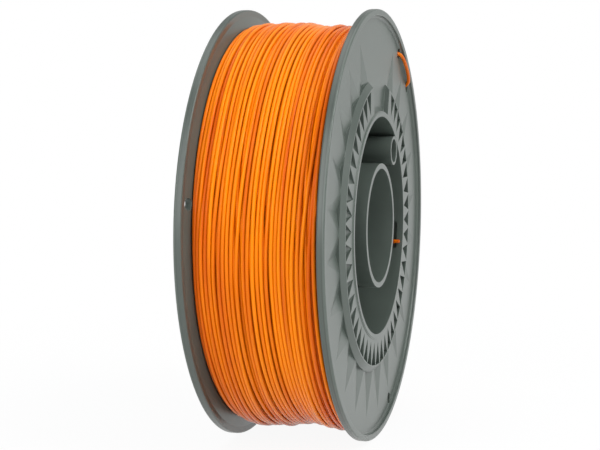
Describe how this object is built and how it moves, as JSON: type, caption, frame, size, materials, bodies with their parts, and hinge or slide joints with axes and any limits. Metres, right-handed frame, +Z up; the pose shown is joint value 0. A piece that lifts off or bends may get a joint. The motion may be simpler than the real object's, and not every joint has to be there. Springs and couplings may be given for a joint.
{
  "type": "filament spool",
  "caption": "Moulded filament spool with relief-faced flanges, hub tube and drive tube, wound full of filament whose end is looped through a flange.",
  "frame": {"origin": "centre of the spindle bore, half way between the two flanges", "axes": "+X along the spool's axis towards the flange that holds the filament's end, +Z up as the spool stands on its rims"},
  "size_m": [0.0696, 0.2, 0.2],
  "materials": {
    "spool_plastic": "moulded, semi-gloss, green-grey",
    "filament": "extruded, glossy, orange"
  },
  "bodies": {
    "root": {"right_flange": "spool_plastic", "left_flange": "spool_plastic", "drum": "spool_plastic", "hub_web": "spool_plastic", "hub_tube": "spool_plastic", "drive_tube": "spool_plastic", "filament_core": "filament", "filament_outer_layer": "filament", "filament_end_loop": "filament", "filament_start_tail": "filament"}
  },
  "joints": []
}
